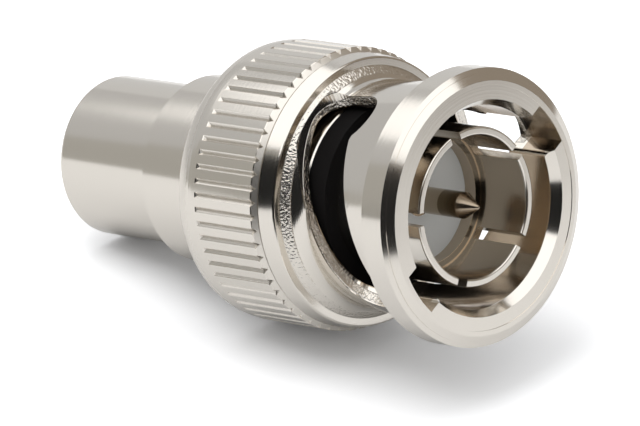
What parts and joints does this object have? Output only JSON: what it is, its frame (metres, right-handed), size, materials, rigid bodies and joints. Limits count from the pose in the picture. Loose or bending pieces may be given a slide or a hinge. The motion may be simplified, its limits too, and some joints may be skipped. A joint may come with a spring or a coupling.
{
  "type": "bnc connector",
  "caption": "Straight bayonet coaxial plug with a slotted outer contact, a knurled coupling nut with two cam slots, and a phono jack barrel at its rear.",
  "frame": {"origin": "centre of the jack barrel's end face, which is the bottom centre of the bounding box", "axes": "+Z along the connector's axis, out of the plug's mouth; the nut's first lug channel lies 38.5 degrees below +X toward -Y"},
  "size_m": [0.0144, 0.0144, 0.027],
  "materials": {
    "nickel": "satin_nickel_plate",
    "contact_plating": "satin_nickel_plate",
    "pin_plating": "dark_plating",
    "ptfe": "matte",
    "gasket_rubber": "matte",
    "spring_steel": "brushed"
  },
  "bodies": {
    "connector_body": {"shell": "nickel", "outer_contact": "contact_plating", "front_insulator": "ptfe", "centre_pin": "pin_plating", "face_gasket": "gasket_rubber", "rear_insulator": "ptfe", "rear_socket": "pin_plating", "wave_spring": "spring_steel"},
    "washer": {"thrust_washer": "nickel"},
    "nut": {"coupling_nut": "nickel", "grip_ring": "nickel", "snap_ring": "spring_steel"}
  },
  "joints": [
    {"name": "nut_travel", "type": "slide", "parent": "connector_body", "child": "washer", "axis": [0, 0, 1], "range_m": [0, 0.0008], "stiffness_N_per_m": 4000, "springref_m": -0.0005, "deforming": ["wave_spring"]},
    {"name": "nut_spin", "type": "hinge", "parent": "washer", "child": "nut", "pos_m": [0, 0, 0], "axis": [0, 0, 1], "continuous": true}
  ]
}
